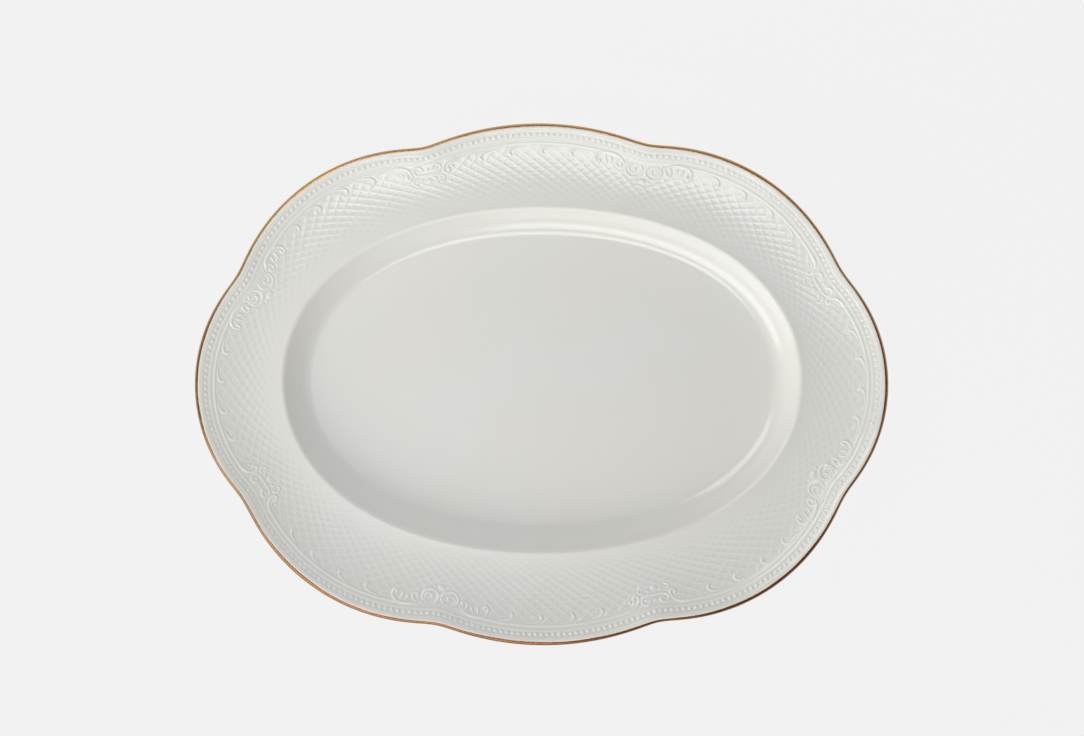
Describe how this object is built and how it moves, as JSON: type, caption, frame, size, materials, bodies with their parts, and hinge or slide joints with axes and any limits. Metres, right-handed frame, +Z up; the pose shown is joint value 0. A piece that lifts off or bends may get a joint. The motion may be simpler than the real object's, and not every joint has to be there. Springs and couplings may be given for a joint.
{
  "type": "serving platter",
  "caption": "Oval serving platter of white glazed porcelain: lobed rim with moulded border, plain sunken well, gold lip line and oval foot ring.",
  "frame": {"origin": "on the foot ring's standing plane, under the middle of the lip, which is the bottom centre of the bounding box", "axes": "+X along the platter's long axis, +Y along its short axis, +Z up out of the well"},
  "size_m": [0.3596, 0.2712, 0.0306],
  "materials": {
    "glazed_porcelain": "clear glossy glaze over white porcelain",
    "gilding": "fired and burnished gold line",
    "bare_foot": "glazed sides with a bare ground standing edge"
  },
  "bodies": {
    "root": {"platter_body": "glazed_porcelain", "gilt_lip_band": "gilding", "foot_ring": "bare_foot"}
  },
  "joints": []
}
